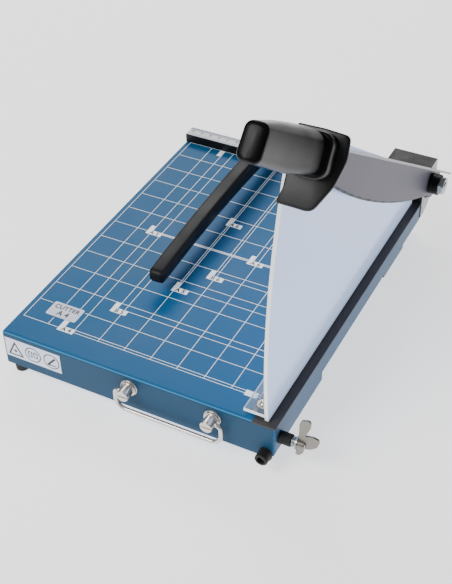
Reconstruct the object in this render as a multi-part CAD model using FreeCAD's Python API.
import FreeCAD, Part
import math
import os
from FreeCAD import Vector

# Guillotine paper cutter, A4 class, in millimetres.
# Working frame: X = 0 at the cutting edge (to the right), Y = 0 at the fence face (to the back),
# Z = 0 on the table top. The finished parts are moved so that the origin is at the bottom
# centre of the whole machine.

# --- table: one folded sheet of steel ---
SHEET = 1.5
TABLE_LEFT = -256.0
TABLE_RIGHT = 0.0
TABLE_FRONT = -325.0
TABLE_BACK = 25.0
WALL_DEPTH = 35.0
BEND_RADIUS = 2.6
LIP_WIDTH = 18.0
SIDE_NOTCH_FRONT = -232.0
SIDE_NOTCH_BACK = -91.0
SIDE_DEPTH_FRONT = 29.0
SIDE_DEPTH_MIDDLE = 20.4
SIDE_DEPTH_BACK = 23.5
SIDE_STEP_BACK = -42.0
SIDE_DEPTH_END = 19.6

# --- lower knife ---
KNIFE_WIDTH = 19.6
KNIFE_THICK = 5.0
KNIFE_LIP = 1.3
KNIFE_FACE = 0.6
KNIFE_END = 1.5

# --- feet and bumper ---
FOOT_HEIGHT = 11.5
FOOT_RADIUS = 6.6
FOOT_LEFT = -247.0
FOOT_FRONT_RIGHT = -12.2
FOOT_BACK_RIGHT = -28.0
FOOT_FRONT = -316.0
FOOT_BACK = 14.0
BUMPER_X = -7.4
BUMPER_Z = -30.0
BUMPER_RADIUS = 5.6
BUMPER_LENGTH = 9.5

# --- fence with its ruler ---
FENCE_DEPTH = 13.6
FENCE_HEIGHT = 9.0
FENCE_RIGHT = -53.0
RULER_THICK = 1.0

# --- pivot bracket and pivot hardware ---
PIVOT_Y = 11.5
PIVOT_Z = 18.9
PIVOT_RADIUS = 5.0
RUN_CLEARANCE = 0.05
BRACKET_LEFT = -43.0
BRACKET_FACE = 0.7
BRACKET_FRONT = 2.0
BRACKET_BACK = 41.0
BRACKET_TOP = 28.0
NUT_FLATS = 16.0
CUP_FLOOR = 11.2
CUP_RIM = 13.8
NUT_START = 12.6
NUT_END = 18.8
BOLT_END = 19.6

# --- blade arm, drawn level and then raised ---
ARM_RAISE = 34.4
BLADE_IN = 0.9
BLADE_OUT = 4.0
BLADE_END = 366.0
BLADE_TOP = 11.5
BLADE_BEVEL = 2.0
RAIL_TOP = 13.5
RAIL_OUT = 5.5
RAIL_TAIL = -74.0
SHIELD_NEAR = 370.0
SHIELD_FAR = 373.5
GRIP_CENTRE_X = 11.5
GRIP_ROOT = 386.0
GRIP_SEAM = 483.6
GRIP_END = 487.4

# --- hand press: shaft, lever, arm, bar and finger guard ---
SHAFT_Y = 21.0
SHAFT_Z = 9.0
SHAFT_RADIUS = 4.0
SHAFT_LEFT = -184.0
SHAFT_RIGHT = -31.0
HUB_RADIUS = 6.5
LEVER_CENTRE_X = -161.0
LEVER_WIDTH = 15.2
LEVER_TIP = -223.6
LEVER_BACK = 6.0
PRESS_ARM_LEFT = -66.0
PRESS_ARM_RIGHT = -54.0
BAR_LEFT = -23.5
BAR_RIGHT = -12.0
BAR_FRONT = -318.0
BAR_BACK = -4.0
PAD_BOTTOM = 0.3
PAD_TOP = 1.3
BAR_TOP = 3.3
GUARD_THICK = 3.0
FLANGE_LEFT = -29.0
GUARD_OUT = -7.5
GUARD_LOW = 0.8

# --- carrying handle on the front wall ---
POST_XS = (-130.0, -53.6)
POST_Z = -11.3
POST_RADIUS = 5.4
POST_LENGTH = 13.0
WASHER_STACK = 3.4
WIRE_RADIUS = 1.8
WIRE_Y = -331.8
BAIL_DROP = 20.4

# --- arm stop at the front of the right wall ---
STOP_Y = -315.5
STOP_Z = -17.0
STOP_BOLT_RADIUS = 3.0
SLEEVE_RADIUS = 5.25
SLEEVE_END = 10.8
WING_HUB_START = 16.2
WING_HUB_END = 21.5
STOP_BOLT_END = 22.6

parts = {}


def box(x0, x1, y0, y1, z0, z1):
    return Part.makeBox(x1 - x0, y1 - y0, z1 - z0, Vector(x0, y0, z0))


def rod_x(x0, x1, y, z, radius):
    return Part.makeCylinder(radius, x1 - x0, Vector(x0, y, z), Vector(1, 0, 0))


def rod_y(x, y0, y1, z, radius):
    return Part.makeCylinder(radius, y1 - y0, Vector(x, y0, z), Vector(0, 1, 0))


def rod_z(x, y, z0, z1, radius):
    return Part.makeCylinder(radius, z1 - z0, Vector(x, y, z0), Vector(0, 0, 1))


def prism_x(edges_or_points, x0, x1):
    """Extrude a closed outline, given in the plane X = x0, to X = x1."""
    return Part.Face(outline(edges_or_points)).extrude(Vector(x1 - x0, 0, 0))


def prism_y(corners, y0, y1):
    """Closed outline given as (x, z) corners, drawn out along Y."""
    points = [Vector(x, y0, z) for x, z in corners]
    return Part.Face(Part.makePolygon(points + points[:1])).extrude(Vector(0, y1 - y0, 0))


def outline(items):
    if isinstance(items[0], Vector):
        return Part.makePolygon(list(items) + [items[0]])
    return Part.Wire(items)


def line(a, b):
    return Part.LineSegment(a, b).toShape()


def arc(a, b, c):
    return Part.Arc(a, b, c).toShape()


def hexagon_x(x0, x1, y, z, flats):
    corner = flats / math.sqrt(3.0)
    angles = [math.radians(60 * i + 30) for i in range(6)]
    points = [Vector(x0, y + corner * math.cos(a), z + corner * math.sin(a)) for a in angles]
    return prism_x(points, x0, x1)


def hexagon_y(x, y0, y1, z, flats):
    corner = flats / math.sqrt(3.0)
    angles = [math.radians(60 * i) for i in range(6)]
    points = [Vector(x + corner * math.cos(a), y0, z + corner * math.sin(a)) for a in angles]
    return Part.Face(outline(points)).extrude(Vector(0, y1 - y0, 0))


def fuse(shapes):
    whole = shapes[0]
    for shape in shapes[1:]:
        whole = whole.fuse(shape)
    return whole.removeSplitter()


def cut(shape, tools):
    for tool in tools:
        shape = shape.cut(tool)
    return shape


def fillet_where(shape, radius, chosen):
    """Fillet the straight edges whose two ends satisfy chosen(start, end)."""
    edges = []
    for edge in shape.Edges:
        if len(edge.Vertexes) == 2:
            start, end = edge.Vertexes[0].Point, edge.Vertexes[1].Point
            if chosen(start, end):
                edges.append(edge)
    return shape.makeFillet(radius, edges)


def near(value, target):
    return abs(value - target) < 0.01


# ---------------------------------------------------------------- base

def table_outer():
    block = box(TABLE_LEFT, TABLE_RIGHT, TABLE_FRONT, TABLE_BACK, -WALL_DEPTH, 0)

    def bend(a, b):
        top = near(a.z, 0) and near(b.z, 0)
        right = near(a.x, TABLE_RIGHT) and near(b.x, TABLE_RIGHT)
        upright = not near(a.z, b.z)
        return (top and not right) or upright
    return fillet_where(block, BEND_RADIUS, bend)


def table_cavity():
    main = box(TABLE_LEFT + SHEET, -KNIFE_WIDTH - SHEET, TABLE_FRONT + SHEET,
               TABLE_BACK - SHEET, -WALL_DEPTH + SHEET, -SHEET)
    under_knife = box(-KNIFE_WIDTH - SHEET, TABLE_RIGHT - SHEET, TABLE_FRONT + SHEET,
                      TABLE_BACK - SHEET, -WALL_DEPTH + SHEET, -KNIFE_THICK - SHEET)
    below = box(TABLE_LEFT + LIP_WIDTH, TABLE_RIGHT - SHEET, TABLE_FRONT + LIP_WIDTH + 4,
                TABLE_BACK - LIP_WIDTH - 4, -WALL_DEPTH - 1, -WALL_DEPTH + SHEET)
    cavity = fuse([main, under_knife])

    def upright(a, b):
        return near(a.x, b.x) and near(a.y, b.y) and near(a.x, TABLE_LEFT + SHEET)
    return [fillet_where(cavity, BEND_RADIUS - SHEET, upright), below]


def table_side_cuts():
    x0, x1 = TABLE_RIGHT - SHEET - 0.5, TABLE_RIGHT + 1
    low = -WALL_DEPTH - 1
    front_corner = [(-4.5, -WALL_DEPTH - 1), (-4.5, -WALL_DEPTH), (0.0, -SIDE_DEPTH_FRONT),
                    (1.0, -SIDE_DEPTH_FRONT), (1.0, -WALL_DEPTH - 1)]
    back_corner = [(-16.0, -WALL_DEPTH - 1), (-16.0, -WALL_DEPTH), (-1.0, -12.0), (1.0, -12.0),
                   (1.0, -WALL_DEPTH - 1)]
    return [
        box(-KNIFE_WIDTH, 1, TABLE_FRONT - 1, TABLE_BACK + 1, -KNIFE_LIP, 1),
        box(-KNIFE_WIDTH, TABLE_RIGHT - SHEET, TABLE_FRONT + SHEET, TABLE_BACK + 1, -KNIFE_THICK, 1),
        prism_y(front_corner, TABLE_FRONT - 1, TABLE_FRONT + 3),
        prism_y(back_corner, TABLE_BACK - LIP_WIDTH - 5, TABLE_BACK + 1),
        box(x0, x1, TABLE_FRONT + 3, SIDE_NOTCH_FRONT, low, -SIDE_DEPTH_FRONT),
        box(x0, x1, SIDE_NOTCH_FRONT, SIDE_NOTCH_BACK, low, -SIDE_DEPTH_MIDDLE),
        box(x0, x1, SIDE_NOTCH_BACK, SIDE_STEP_BACK, low, -SIDE_DEPTH_BACK),
        box(x0, x1, SIDE_STEP_BACK, BRACKET_FRONT, low, -SIDE_DEPTH_END),
        box(x0, x1, BRACKET_FRONT - 0.4, TABLE_BACK + 1, low, 1),
    ]


def knife_screw_places():
    return [(-14.0, y) for y in (-300.0, -200.0, -100.0, -15.0)]


def fence_screw_places():
    return [(x, FENCE_DEPTH / 2) for x in (-235.0, -150.0, -75.0)]


def foot_places():
    return {
        "foot_front_left": (FOOT_LEFT, FOOT_FRONT),
        "foot_front_right": (FOOT_FRONT_RIGHT, FOOT_FRONT),
        "foot_back_left": (FOOT_LEFT, FOOT_BACK),
        "foot_back_right": (FOOT_BACK_RIGHT, FOOT_BACK),
    }


def bearing_screw_places():
    return [(-177.0, 18.0)]


def bracket_bolt_places():
    return [(-35.0, 7.5), (-35.0, 18.5)]


def table_holes():
    holes = [rod_z(x, y, -8, 1, 2.0) for x, y in knife_screw_places()]
    holes += [rod_z(x, y, -3, 1, 2.0) for x, y in fence_screw_places()]
    holes += [rod_z(x, y, -3, 1, 2.0) for x, y in bearing_screw_places()]
    holes += [rod_z(x, y, -3, 1, 2.5) for x, y in bracket_bolt_places()]
    holes += [rod_z(x, y, -36, -33, 2.0) for x, y in foot_places().values()]
    holes += [rod_y(x, TABLE_FRONT - 1, TABLE_FRONT + 3, POST_Z, 3.0) for x in POST_XS]
    holes.append(rod_y(BUMPER_X, TABLE_FRONT - 1, TABLE_FRONT + 3, BUMPER_Z, 1.5))
    holes.append(rod_x(-3, 1, STOP_Y, STOP_Z, STOP_BOLT_RADIUS))
    return holes


def make_table():
    parts["table_plate"] = cut(table_outer(), table_cavity() + table_side_cuts() + table_holes())


def make_lower_knife():
    lip = box(-KNIFE_WIDTH, KNIFE_FACE, TABLE_FRONT - 0.3, KNIFE_END, -KNIFE_LIP, 0)
    body = box(-KNIFE_WIDTH, TABLE_RIGHT - SHEET, TABLE_FRONT + SHEET, KNIFE_END, -KNIFE_THICK, -KNIFE_LIP)
    bar = fuse([lip, body])

    def front_top(a, b):
        return near(a.y, TABLE_FRONT - 0.3) and near(b.y, a.y) and near(a.z, 0) and near(b.z, 0)
    bar = fillet_where(bar, 0.8, front_top)
    tools = []
    screws = []
    for x, y in knife_screw_places():
        shank = rod_z(x, y, -9.5, -1.5, 2.0)
        head = Part.makeCone(2.0, 4.0, 2.0, Vector(x, y, -2.2), Vector(0, 0, 1))
        screw = fuse([shank, head])
        tools.append(fuse([screw, rod_z(x, y, -0.21, 0.1, 4.0)]))
        screws.append(cut(screw, [box(x - 3, x + 3, y - 0.4, y + 0.4, -0.9, 0)]))
    parts["lower_knife"] = cut(bar, tools)
    parts["knife_screws"] = Part.makeCompound(screws)


def make_fence():
    bar = box(TABLE_LEFT + 0.6, FENCE_RIGHT, 0, FENCE_DEPTH, 0, FENCE_HEIGHT)
    bar = bar.makeFillet(0.5, [e for e in bar.Edges if near(e.BoundBox.ZMin, FENCE_HEIGHT)])
    screws = []
    for x, y in fence_screw_places():
        shank = rod_z(x, y, -1.5, 6, 2.0)
        head = rod_z(x, y, -4, -1.5, 3.5)
        screws.append(fuse([shank, head]))
    parts["back_fence"] = cut(bar, [rod_z(x, y, -1, 6, 2.0) for x, y in fence_screw_places()])
    parts["fence_screws"] = Part.makeCompound(screws)
    ruler = box(TABLE_LEFT + 1.2, FENCE_RIGHT - 0.6, 0.6, FENCE_DEPTH - 0.6,
                FENCE_HEIGHT, FENCE_HEIGHT + RULER_THICK)
    top = FENCE_HEIGHT + RULER_THICK
    parts["fence_ruler"] = ruler.makeFillet(0.3, [e for e in ruler.Edges if near(e.BoundBox.ZMin, top)])


def bracket_side_plate():
    x = TABLE_RIGHT - SHEET
    points = [(BRACKET_FRONT, 1), (BRACKET_FRONT, -17.6), (9.0, -17.4), (18.5, -15.0), (25.5, -9.5),
              (30.0, -2.0), (31.5, 1.0)]
    return prism_x([Vector(x, y, z) for y, z in points], x, BRACKET_FACE)


def make_pivot_bracket():
    upper = box(BRACKET_LEFT, BRACKET_FACE, BRACKET_FRONT, BRACKET_BACK, 0, BRACKET_TOP)

    def rounded(a, b):
        left = near(a.x, BRACKET_LEFT) and near(b.x, BRACKET_LEFT)
        back = near(a.y, BRACKET_BACK) and near(b.y, BRACKET_BACK)
        upright = not near(a.z, b.z)
        back_top = back and near(a.z, BRACKET_TOP) and near(b.z, BRACKET_TOP)
        return (left and upright) or back_top
    upper = fillet_where(upper, 1.2, rounded)
    filler = box(-KNIFE_WIDTH + 0.2, BRACKET_FACE, BRACKET_FRONT, TABLE_BACK, -KNIFE_THICK, 0)
    body = fuse([upper, filler, bracket_side_plate()])
    tools = [
        rod_x(BRACKET_LEFT - 1, BRACKET_FACE + 1, PIVOT_Y, PIVOT_Z, PIVOT_RADIUS + RUN_CLEARANCE),
        rod_x(BRACKET_LEFT - 1, SHAFT_RIGHT + 1, SHAFT_Y, SHAFT_Z, SHAFT_RADIUS + RUN_CLEARANCE),
    ]
    bolts = []
    for x, y in bracket_bolt_places():
        tools.append(rod_z(x, y, -1, 4, 2.5))
        bolts.append(fuse([rod_z(x, y, -1.5, 4, 2.5), rod_z(x, y, -5, -1.5, 4.5)]))
    parts["pivot_bracket"] = cut(body, tools)
    parts["bracket_bolts"] = Part.makeCompound(bolts)


def make_pivot_hardware():
    head = hexagon_x(-49.5, BRACKET_LEFT, PIVOT_Y, PIVOT_Z, NUT_FLATS)
    shank = rod_x(BRACKET_LEFT, BOLT_END, PIVOT_Y, PIVOT_Z, PIVOT_RADIUS)
    shank = shank.makeChamfer(0.8, [e for e in shank.Edges if near(e.BoundBox.XMin, BOLT_END)])
    parts["pivot_bolt"] = fuse([head, shank])
    hole = rod_x(0, 30, PIVOT_Y, PIVOT_Z, PIVOT_RADIUS)
    groove = rod_x(9.4, 10.2, PIVOT_Y, PIVOT_Z, 12).cut(rod_x(9.4, 10.2, PIVOT_Y, PIVOT_Z, 9.2))
    cup = rod_x(CUP_FLOOR, CUP_RIM + 1, PIVOT_Y, PIVOT_Z, 9.4)
    bushing = rod_x(BLADE_OUT + 0.3, CUP_RIM, PIVOT_Y, PIVOT_Z, 10.0)
    bushing = bushing.makeFillet(0.3, [e for e in bushing.Edges if e.BoundBox.XLength < 0.01])
    parts["pivot_bushing"] = cut(bushing, [hole, groove, cup])
    washer = rod_x(CUP_FLOOR, NUT_START, PIVOT_Y, PIVOT_Z, 8.4)
    split = box(CUP_FLOOR - 0.1, NUT_START + 0.1, PIVOT_Y - 0.5, PIVOT_Y + 0.5, PIVOT_Z + 3, PIVOT_Z + 10)
    parts["pivot_spring_washer"] = cut(washer, [hole, split])
    nut = hexagon_x(NUT_START, NUT_END, PIVOT_Y, PIVOT_Z, NUT_FLATS)
    crown_base = Vector(NUT_START, PIVOT_Y, PIVOT_Z)
    crown = Part.makeCone(10.6, 7.8, NUT_END - NUT_START, crown_base, Vector(1, 0, 0))
    parts["pivot_nut"] = cut(nut.common(crown), [hole])


def make_shaft_bearing():
    base = box(-182, -172, 14.5, 25.0, 0, SHAFT_Z)
    barrel = rod_x(-182, -172, SHAFT_Y, SHAFT_Z, 7.0)
    bore = rod_x(-183, -171, SHAFT_Y, SHAFT_Z, SHAFT_RADIUS + RUN_CLEARANCE)
    screws = []
    tools = [bore, box(-183, -171, 10, 30, -3, 0)]
    for x, y in bearing_screw_places():
        tools.append(rod_z(x, y, -1, 4, 2.0))
        screws.append(fuse([rod_z(x, y, -1.5, 4, 2.0), rod_z(x, y, -4, -1.5, 3.5)]))
    parts["shaft_bearing"] = cut(fuse([base, barrel]), tools)
    parts["bearing_screw"] = screws[0]


def make_feet():
    screws = []
    for name, (x, y) in foot_places().items():
        low = -WALL_DEPTH - FOOT_HEIGHT
        foot = Part.makeCone(FOOT_RADIUS - 0.8, FOOT_RADIUS, FOOT_HEIGHT, Vector(x, y, low))
        foot = foot.makeFillet(0.8, [e for e in foot.Edges if near(e.BoundBox.ZMax, low)])
        recess = rod_z(x, y, low - 1, low + 5, 3.0)
        shank_hole = rod_z(x, y, low, -WALL_DEPTH, 2.0)
        parts[name] = cut(foot, [recess, shank_hole])
        head = rod_z(x, y, low + 3.2, low + 5, 2.9)
        screws.append(fuse([head, rod_z(x, y, low + 5, -WALL_DEPTH + SHEET + 2, 2.0)]))
    parts["foot_screws"] = Part.makeCompound(screws)


def make_bumper():
    front = TABLE_FRONT - BUMPER_LENGTH
    body = rod_y(BUMPER_X, front, TABLE_FRONT, BUMPER_Z, BUMPER_RADIUS)
    body = body.makeFillet(1.0, [e for e in body.Edges if near(e.BoundBox.YMax, front)])
    recess = rod_y(BUMPER_X, front - 1, front + 5, BUMPER_Z, 3.4)
    parts["front_bumper"] = cut(body, [recess, rod_y(BUMPER_X, front, TABLE_FRONT, BUMPER_Z, 1.5)])
    head = rod_y(BUMPER_X, front + 3.2, front + 5, BUMPER_Z, 2.8)
    shank = rod_y(BUMPER_X, front + 5, TABLE_FRONT + SHEET + 2, BUMPER_Z, 1.5)
    parts["bumper_screw"] = fuse([head, shank])


def make_labels():
    plate = box(-235.0, -205.0, -289.6, -272.4, 0, 0.3)
    parts["name_plate"] = plate.makeFillet(1.6, [e for e in plate.Edges if e.BoundBox.ZLength > 0.2])
    parts["front_label"] = box(-253.2, -197.6, TABLE_FRONT - 0.25, TABLE_FRONT, -25.8, -5.2)


# ---------------------------------------------------------------- handle on the front wall

def make_handle_posts():
    front = TABLE_FRONT - POST_LENGTH
    washers = []
    nuts = []
    for name, x in zip(("handle_post_left", "handle_post_right"), POST_XS):
        post = rod_y(x, front, TABLE_FRONT - WASHER_STACK, POST_Z, POST_RADIUS)
        post = post.makeFillet(0.7, [e for e in post.Edges if near(e.BoundBox.YMax, front)])
        stud = rod_y(x, TABLE_FRONT - WASHER_STACK, TABLE_FRONT + 7.0, POST_Z, 3.0)
        eye = rod_x(x - 8, x + 8, WIRE_Y, POST_Z, WIRE_RADIUS + RUN_CLEARANCE)
        slot = box(x - 8, x + 8, front - 1, front + 1.6, POST_Z - 0.8, POST_Z + 0.8)
        parts[name] = cut(fuse([post, stud]), [eye, slot])
        stud_hole = rod_y(x, TABLE_FRONT - 5, TABLE_FRONT + 8, POST_Z, 3.0)
        for y, radius in ((TABLE_FRONT, 7.6), (TABLE_FRONT - WASHER_STACK / 2, 7.0)):
            face = y - WASHER_STACK / 2
            washer = rod_y(x, face, y, POST_Z, radius)
            washer = washer.makeFillet(0.5, [e for e in washer.Edges if near(e.BoundBox.YMax, face)])
            washers.append(washer.cut(stud_hole))
        nut = hexagon_y(x, TABLE_FRONT + SHEET, TABLE_FRONT + SHEET + 4.5, POST_Z, 10.0)
        nuts.append(nut.cut(stud_hole))
    parts["handle_washers"] = Part.makeCompound(washers)
    parts["handle_nuts"] = Part.makeCompound(nuts)


def bail_path():
    """Wire path in the plane Y = WIRE_Y: out of the left eye, down, across, up, into the right eye."""
    left_eye, right_eye = POST_XS
    left, right = left_eye - 10.2, right_eye + 10.2
    low = POST_Z - BAIL_DROP
    corners = [(left_eye + 1.5, POST_Z), (left, POST_Z), (left, low), (right, low), (right, POST_Z),
               (right_eye - 1.5, POST_Z)]
    radii = [4.5, 9.5, 9.5, 4.5]
    edges = []
    start = Vector(corners[0][0], WIRE_Y, corners[0][1])
    for index, radius in enumerate(radii, start=1):
        here = Vector(corners[index][0], WIRE_Y, corners[index][1])
        before = Vector(corners[index - 1][0], WIRE_Y, corners[index - 1][1])
        after = Vector(corners[index + 1][0], WIRE_Y, corners[index + 1][1])
        back = (before - here).normalize()
        ahead = (after - here).normalize()
        first = here + back * radius
        last = here + ahead * radius
        centre = first + ahead * radius
        middle = centre - (back + ahead).normalize() * radius
        edges.append(line(start, first))
        edges.append(arc(first, middle, last))
        start = last
    edges.append(line(start, Vector(corners[-1][0], WIRE_Y, corners[-1][1])))
    return Part.Wire(edges)


def make_handle_bail():
    path = bail_path()
    first = path.Vertexes[0].Point
    ring = Part.Wire(Part.Circle(first, Vector(1, 0, 0), WIRE_RADIUS).toShape())
    parts["handle_bail"] = path.makePipeShell([ring], True, True)


# ---------------------------------------------------------------- arm stop

def make_arm_stop():
    head = hexagon_x(-6.0, -SHEET, STOP_Y, STOP_Z, 10.0)
    shank = rod_x(-SHEET, STOP_BOLT_END, STOP_Y, STOP_Z, STOP_BOLT_RADIUS)
    shank = shank.makeChamfer(0.6, [e for e in shank.Edges if near(e.BoundBox.XMin, STOP_BOLT_END)])
    parts["stop_bolt"] = fuse([head, shank])
    hole = rod_x(-1, 30, STOP_Y, STOP_Z, STOP_BOLT_RADIUS)
    sleeve = rod_x(0, SLEEVE_END, STOP_Y, STOP_Z, SLEEVE_RADIUS)
    sleeve = sleeve.makeFillet(0.6, [e for e in sleeve.Edges if near(e.BoundBox.XMin, SLEEVE_END)])
    parts["stop_sleeve"] = cut(sleeve, [hole])
    parts["stop_spring"] = rod_x(SLEEVE_END, 14.4, STOP_Y, STOP_Z, 4.4).cut(
        rod_x(SLEEVE_END, 14.4, STOP_Y, STOP_Z, STOP_BOLT_RADIUS + 0.2))
    washers = []
    for start in (14.4, 15.2):
        washers.append(rod_x(start, start + 0.8, STOP_Y, STOP_Z, 5.6).cut(hole))
    parts["stop_washers"] = Part.makeCompound(washers)


def flat_wing(corners, thick, turn):
    """Flat wing over (x, height) corners in a plane through the bolt axis, turned about it."""
    points = [Vector(x, -thick / 2, height) for x, height in corners]
    plate = Part.Face(Part.makePolygon(points + points[:1])).extrude(Vector(0, thick, 0))
    plate = plate.makeFillet(1.6, [e for e in plate.Edges if near(e.BoundBox.YLength, thick)])
    plate.rotate(Vector(0, 0, 0), Vector(1, 0, 0), turn)
    plate.translate(Vector(WING_HUB_START, STOP_Y, STOP_Z))
    return plate


def make_wing_nut():
    hub = Part.makeCone(4.9, 4.3, WING_HUB_END - WING_HUB_START,
                        Vector(WING_HUB_START, STOP_Y, STOP_Z), Vector(1, 0, 0))
    tall = flat_wing([(0.8, 0.0), (0.3, 12.0), (0.6, 23.0), (2.4, 26.6), (8.4, 28.8), (10.0, 26.4),
                      (9.6, 20.6), (6.2, 12.0), (5.3, 5.0), (5.3, 0.0)], 1.8, 0.0)
    long = flat_wing([(2.0, -3.6), (2.0, 6.0), (6.5, 11.2), (12.5, 12.4), (16.6, 11.4), (17.6, 8.2),
                      (15.8, 2.8), (11.0, -1.4), (5.0, -3.6)], 1.8, 0.0)
    heel = flat_wing([(0.8, 0.0), (0.8, -5.9), (-1.6, -7.6), (-2.4, -12.2), (0.6, -13.0), (4.0, -9.0),
                      (5.3, -4.0), (5.3, 0.0)], 1.8, 0.0)
    hole = rod_x(10, STOP_BOLT_END + 0.4, STOP_Y, STOP_Z, STOP_BOLT_RADIUS + RUN_CLEARANCE)
    parts["wing_nut"] = cut(fuse([hub, tall, long, heel]), [hole])


# ---------------------------------------------------------------- blade arm

def arm_point(x, reach, height):
    """Point on the level arm: reach runs forward from the pivot, height upward."""
    return Vector(x, PIVOT_Y - reach, PIVOT_Z + height)


def arm_box(x0, x1, reach0, reach1, height0, height1):
    return box(x0, x1, PIVOT_Y - reach1, PIVOT_Y - reach0, PIVOT_Z + height0, PIVOT_Z + height1)


def raised(shape):
    shape.rotate(Vector(0, PIVOT_Y, PIVOT_Z), Vector(1, 0, 0), -ARM_RAISE)
    return shape


def blade_outline(x, lift):
    """Belly in two arcs, straight spine, round heel about the pivot. lift raises the belly."""
    nose = arm_point(x, BLADE_END, -2.4 + lift)
    low = arm_point(x, 150.0, -23.9 + lift)
    heel = arm_point(x, -3.0, -14.2 + lift)
    heel_top = arm_point(x, -31.0, BLADE_TOP)
    edges = [
        arc(nose, arm_point(x, 262.0, -18.4 + lift), low),
        arc(low, arm_point(x, 74.0, -21.6 + lift), heel),
        arc(heel, arm_point(x, -30.0, -3.0), heel_top),
        line(heel_top, arm_point(x, BLADE_END, BLADE_TOP)),
        line(arm_point(x, BLADE_END, BLADE_TOP), nose),
    ]
    return Part.Wire(edges)


def grip_screw_places():
    return [(381.0, 4.0), (392.0, 4.0)]


def rail_rivet_places():
    return [(reach, 8.6) for reach in (-2.0, 60.0, 140.0, 220.0, 300.0, 355.0)]


def make_blade():
    bevel_x = BLADE_IN + 1.6
    bevel = Part.makeLoft([blade_outline(BLADE_IN, 0), blade_outline(bevel_x, BLADE_BEVEL)], True, True)
    flat = Part.Face(blade_outline(bevel_x, BLADE_BEVEL)).extrude(Vector(BLADE_OUT - bevel_x, 0, 0))
    tang = arm_box(BLADE_IN, BLADE_OUT, BLADE_END - 2, 398.0, 0.0, 8.0)
    pivot_hole = rod_x(-1, 10, PIVOT_Y, PIVOT_Z, PIVOT_RADIUS + RUN_CLEARANCE)
    tools = [pivot_hole]
    for reach, height in grip_screw_places():
        point = arm_point(0, reach, height)
        tools.append(rod_x(-1, 10, point.y, point.z, 2.0))
    parts["blade"] = raised(cut(fuse([bevel, flat, tang]), tools))


def make_spine_rail():
    strip = arm_box(BLADE_IN, RAIL_OUT, RAIL_TAIL, BLADE_END, BLADE_TOP, RAIL_TOP)
    ends = [e for e in strip.Edges if e.BoundBox.YLength < 0.01 and e.BoundBox.XLength < 0.01]
    parts["spine_rail"] = raised(strip.makeFillet(0.9, ends))


def shield_outline(reach, inset):
    points = [(-4.6, -18.0), (-5.2, 0.0), (-5.6, 14.0), (-3.6, 22.2), (12.0, 23.4), (27.0, 22.8),
              (31.8, 17.0), (32.4, 3.0), (28.4, -12.4), (19.3, -28.3), (8.0, -31.6), (-6.4, -30.6)]
    centre_x, centre_n = 12.0, -4.0
    shrunk = []
    for x, height in points:
        scale = 1.0 - inset / math.hypot(x - centre_x, height - centre_n)
        shrunk.append(arm_point(centre_x + (x - centre_x) * scale, reach,
                                centre_n + (height - centre_n) * scale))
    curve = Part.BSplineCurve()
    curve.interpolate(shrunk, PeriodicFlag=True)
    return Part.Wire(curve.toShape())


def tang_clearance():
    return arm_box(BLADE_IN - 0.05, BLADE_OUT + 0.05, BLADE_END - 1, 398.3, -0.05, 8.05)


def make_hand_shield():
    shell = Part.makeLoft([shield_outline(SHIELD_NEAR, 1.2), shield_outline(SHIELD_FAR, 0)], True, True)
    parts["hand_shield"] = raised(cut(shell, [tang_clearance()]))


def grip_section(reach, slant, left, right, bottom, top, corner):
    """Ring across the grip: a rounded box whose top is set back by slant."""
    def place(x, height):
        return arm_point(x, reach - slant * (height - bottom) / (top - bottom), height)

    def corner_arc(x, height, side, rise):
        bulge = corner * (1 - math.sqrt(0.5))
        ends = [place(x - side * corner, height), place(x, height - rise * corner)]
        middle = place(x - side * bulge, height - rise * bulge)
        return ends, middle
    corners = [corner_arc(left, bottom, -1, -1), corner_arc(right, bottom, 1, -1),
               corner_arc(right, top, 1, 1), corner_arc(left, top, -1, 1)]
    edges = []
    for index, ((flat_end, upright_end), middle) in enumerate(corners):
        start, finish = (upright_end, flat_end) if index % 2 == 0 else (flat_end, upright_end)
        edges.append(arc(start, middle, finish))
        (next_flat, next_upright), _ = corners[(index + 1) % 4]
        edges.append(line(finish, next_flat if index % 2 == 0 else next_upright))
    return Part.Wire(edges)


GRIP_RINGS = [
    (GRIP_ROOT, 0.0, -3.6, 24.2, -7.4, 20.9, 8.0),
    (397.0, 0.0, -3.4, 25.2, -7.8, 21.6, 8.0),
    (416.0, 0.3, -1.4, 23.8, -8.6, 21.9, 7.6),
    (450.0, 1.8, 1.9, 20.6, -8.0, 20.9, 6.6),
    (GRIP_SEAM, 4.0, 3.6, 19.4, -6.2, 18.4, 5.6),
]
CAP_RINGS = [
    (GRIP_SEAM + 0.2, 4.0, 3.6, 19.4, -6.2, 18.4, 5.6),
    (GRIP_SEAM + 2.2, 4.2, 4.0, 19.0, -5.8, 17.9, 5.4),
    (GRIP_END, 4.4, 5.8, 17.4, -4.0, 16.0, 4.8),
]


def make_grip():
    body = Part.makeLoft([grip_section(*ring) for ring in GRIP_RINGS], True, False)
    root = Part.Face(grip_section(SHIELD_FAR, 0.0, -5.4, 26.0, -9.8, 21.4, 8.4))
    root = root.extrude(Vector(0, SHIELD_FAR - GRIP_ROOT, 0))
    body = fuse([body, root])
    tools = [tang_clearance()]
    screws = []
    for reach, height in grip_screw_places():
        point = arm_point(0, reach, height)
        shank = rod_x(-3.0, 14.0, point.y, point.z, 2.0)
        head = rod_x(-4.0, -1.0, point.y, point.z, 3.2)
        screw = fuse([shank, head])
        tools.append(rod_x(-6.0, 14.0, point.y, point.z, 2.0))
        tools.append(rod_x(-6.0, -1.0, point.y, point.z, 3.3))
        slot = box(-4.1, -3.1, point.y - 0.4, point.y + 0.4, point.z - 3, point.z + 3)
        screws.append(raised(screw.cut(slot)))
    parts["grip_body"] = raised(cut(body, tools))
    parts["grip_screws"] = Part.makeCompound(screws)


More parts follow.
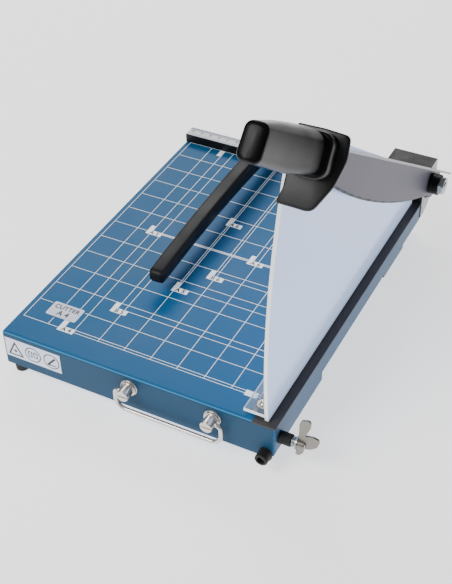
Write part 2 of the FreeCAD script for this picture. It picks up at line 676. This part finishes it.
def make_grip_cap():
    base = arm_point(GRIP_CENTRE_X, GRIP_SEAM - 14, 7.0)
    plug = Part.makeCylinder(5.0, 16.0, base, Vector(0, -1, 0))
    cap = Part.makeLoft([grip_section(*ring) for ring in CAP_RINGS], True, False)
    socket = raised(Part.makeCylinder(5.0, 15.0, base, Vector(0, -1, 0)))
    parts["grip_body"] = parts["grip_body"].cut(socket)
    parts["grip_cap"] = raised(fuse([cap, plug]))


# ---------------------------------------------------------------- hand press

def make_press_shaft():
    shaft = rod_x(SHAFT_LEFT, SHAFT_RIGHT, SHAFT_Y, SHAFT_Z, SHAFT_RADIUS)
    ends = [e for e in shaft.Edges if e.BoundBox.XLength < 0.01]
    shaft = shaft.makeChamfer(0.5, ends)
    clips = []
    groove_tools = []
    for start in (-171.4, -53.6):
        ring = rod_x(start, start + 1.0, SHAFT_Y, SHAFT_Z, 6.0)
        ring = ring.cut(rod_x(start, start + 1.0, SHAFT_Y, SHAFT_Z, 3.4))
        mouth = box(start - 1, start + 2, SHAFT_Y - 1.5, SHAFT_Y + 1.5, SHAFT_Z, SHAFT_Z + 8)
        clips.append(ring.cut(mouth))
        neck = rod_x(start, start + 1.0, SHAFT_Y, SHAFT_Z, 5.0)
        groove_tools.append(neck.cut(rod_x(start, start + 1.0, SHAFT_Y, SHAFT_Z, 3.4)))
    parts["press_shaft"] = cut(shaft, groove_tools)
    parts["shaft_clips"] = Part.makeCompound(clips)


def lever_profile(x, bottom, top):
    """Side outline of the arched lever between a lower and an upper arc, with a round tip."""
    tip_low, mid_low, end_low = bottom
    tip_high, mid_high, end_high = top
    nose = Vector(x, LEVER_TIP - 2.4, (tip_low + tip_high) / 2)
    a = Vector(x, LEVER_TIP, tip_low)
    b = Vector(x, LEVER_TIP, tip_high)
    c = Vector(x, LEVER_BACK, end_high)
    d = Vector(x, LEVER_BACK, end_low)
    return Part.Wire([arc(a, nose, b), arc(b, Vector(x, -112.0, mid_high), c), line(c, d),
                      arc(d, Vector(x, -112.0, mid_low), a)])


def make_press_lever():
    x0 = LEVER_CENTRE_X - LEVER_WIDTH / 2
    sleeve = Part.Face(lever_profile(x0, (12.0, 17.2, 11.8), (24.8, 32.4, 33.0)))
    sleeve = sleeve.extrude(Vector(LEVER_WIDTH, 0, 0))
    long_edges = [e for e in sleeve.Edges if e.BoundBox.XLength < 0.01 and e.BoundBox.YLength > 100]
    sleeve = sleeve.makeFillet(3.2, long_edges)
    core_x = LEVER_CENTRE_X - 2.5
    core_points = [(26.0, 10.0), (24.0, 16.0), (8.0, 27.0), (-50.0, 28.0), (-100.0, 27.5),
                   (-100.0, 22.5), (-50.0, 21.0), (5.0, 17.0), (15.0, 10.0)]
    core = prism_x([Vector(core_x, y, z) for y, z in core_points], core_x, core_x + 5)
    hub = rod_x(LEVER_CENTRE_X - 7, LEVER_CENTRE_X + 7, SHAFT_Y, SHAFT_Z, HUB_RADIUS)
    bore = rod_x(-200, -100, SHAFT_Y, SHAFT_Z, SHAFT_RADIUS)
    parts["press_lever"] = cut(fuse([hub, core]), [bore])
    parts["lever_grip"] = cut(sleeve, [core, hub])


def make_press_arm():
    hub = rod_x(PRESS_ARM_LEFT, PRESS_ARM_RIGHT, SHAFT_Y, SHAFT_Z, HUB_RADIUS)
    points = [(25.0, 13.0), (21.0, 16.5), (-20.0, 16.5), (-20.0, BAR_TOP), (-4.0, BAR_TOP), (-4.0, 12.4),
              (17.0, 12.4)]
    web = prism_x([Vector(PRESS_ARM_LEFT, y, z) for y, z in points], PRESS_ARM_LEFT, PRESS_ARM_RIGHT)
    foot = box(PRESS_ARM_LEFT, BAR_RIGHT, -20, -4, BAR_TOP, 8.0)
    bore = rod_x(PRESS_ARM_LEFT - 1, PRESS_ARM_RIGHT + 1, SHAFT_Y, SHAFT_Z, SHAFT_RADIUS)
    parts["press_arm"] = cut(fuse([hub, web, foot]), [bore, rod_z(-18, -12, 0, 9, 2.0)])


def guard_screw_places():
    return [(-16.6, y) for y in (-310.5, -210.0, -110.0, -34.0)]


def make_press_bar():
    holes = [rod_z(x, y, 0, 9, 2.0) for x, y in guard_screw_places()]
    holes.append(rod_z(-18, -12, 0, 9, 2.0))
    bar = box(BAR_LEFT, BAR_RIGHT, BAR_FRONT, BAR_BACK, PAD_TOP, BAR_TOP)
    parts["press_bar"] = cut(bar, holes)
    parts["press_pad"] = box(BAR_LEFT + 1, BAR_RIGHT - 1, BAR_FRONT + 1, BAR_BACK - 1, PAD_BOTTOM, PAD_TOP)
    screws = []
    for x, y in guard_screw_places():
        shank = rod_z(x, y, PAD_TOP, BAR_TOP + GUARD_THICK, 2.0)
        rim = rod_z(x, y, BAR_TOP + GUARD_THICK, BAR_TOP + GUARD_THICK + 0.7, 4.9)
        head = dome(x, y, BAR_TOP + GUARD_THICK + 0.7, 3.4, 2.2)
        screws.append(fuse([shank, rim, head]))
    parts["guard_screws"] = Part.makeCompound(screws)
    shank = rod_z(-18, -12, PAD_TOP, 8.0, 2.0)
    parts["press_arm_screw"] = fuse([shank, dome(-18, -12, 8.0, 3.4, 2.4)])


def dome(x, y, z, radius, height):
    """Round screw head: the top slice of a ball."""
    ball_radius = (radius * radius + height * height) / (2 * height)
    ball = Part.makeSphere(ball_radius, Vector(x, y, z + height - ball_radius))
    return ball.common(rod_z(x, y, z, z + height + 1, radius + 1))


def guard_plate_outline(x):
    foot = Vector(x, -320.5, GUARD_LOW)
    shoulder = Vector(x, -293.5, 217.0)
    crest = Vector(x, -273.0, 238.0)
    heel_top = Vector(x, -3.0, 40.8)
    heel = Vector(x, -3.0, GUARD_LOW)
    edges = [arc(foot, Vector(x, -319.3, 103.5), shoulder),
             arc(shoulder, Vector(x, -285.5, 233.0), crest),
             line(crest, heel_top), line(heel_top, heel), line(heel, foot)]
    return Part.Wire(edges)


def make_finger_guard():
    x0 = GUARD_OUT - GUARD_THICK
    plate = Part.Face(guard_plate_outline(x0)).extrude(Vector(GUARD_THICK, 0, 0))
    flange = box(FLANGE_LEFT, x0 + 1, -320.2, -24.0, BAR_TOP, BAR_TOP + GUARD_THICK)
    holes = [rod_z(x, y, 0, 9, 2.0) for x, y in guard_screw_places()]
    parts["finger_guard"] = cut(fuse([plate, flange]), holes)


def build():
    make_table()
    make_lower_knife()
    make_fence()
    make_pivot_bracket()
    make_pivot_hardware()
    make_shaft_bearing()
    make_feet()
    make_bumper()
    make_labels()
    make_handle_posts()
    make_handle_bail()
    make_arm_stop()
    make_wing_nut()
    make_blade()
    make_spine_rail()
    make_hand_shield()
    make_grip()
    make_grip_cap()
    make_press_shaft()
    make_press_lever()
    make_press_arm()
    make_press_bar()
    make_finger_guard()


def whole_box():
    whole = FreeCAD.BoundBox()
    for shape in parts.values():
        whole.add(shape.optimalBoundingBox(False))
    return whole


def export():
    os.makedirs("parts", exist_ok=True)
    whole = whole_box()
    shift = Vector(-whole.Center.x, -whole.Center.y, -whole.ZMin)
    for name, shape in parts.items():
        shape.translate(shift)
        shape.exportStep("parts/" + name + ".step")
    return shift


build()
print(len(parts), "parts, moved by", export())
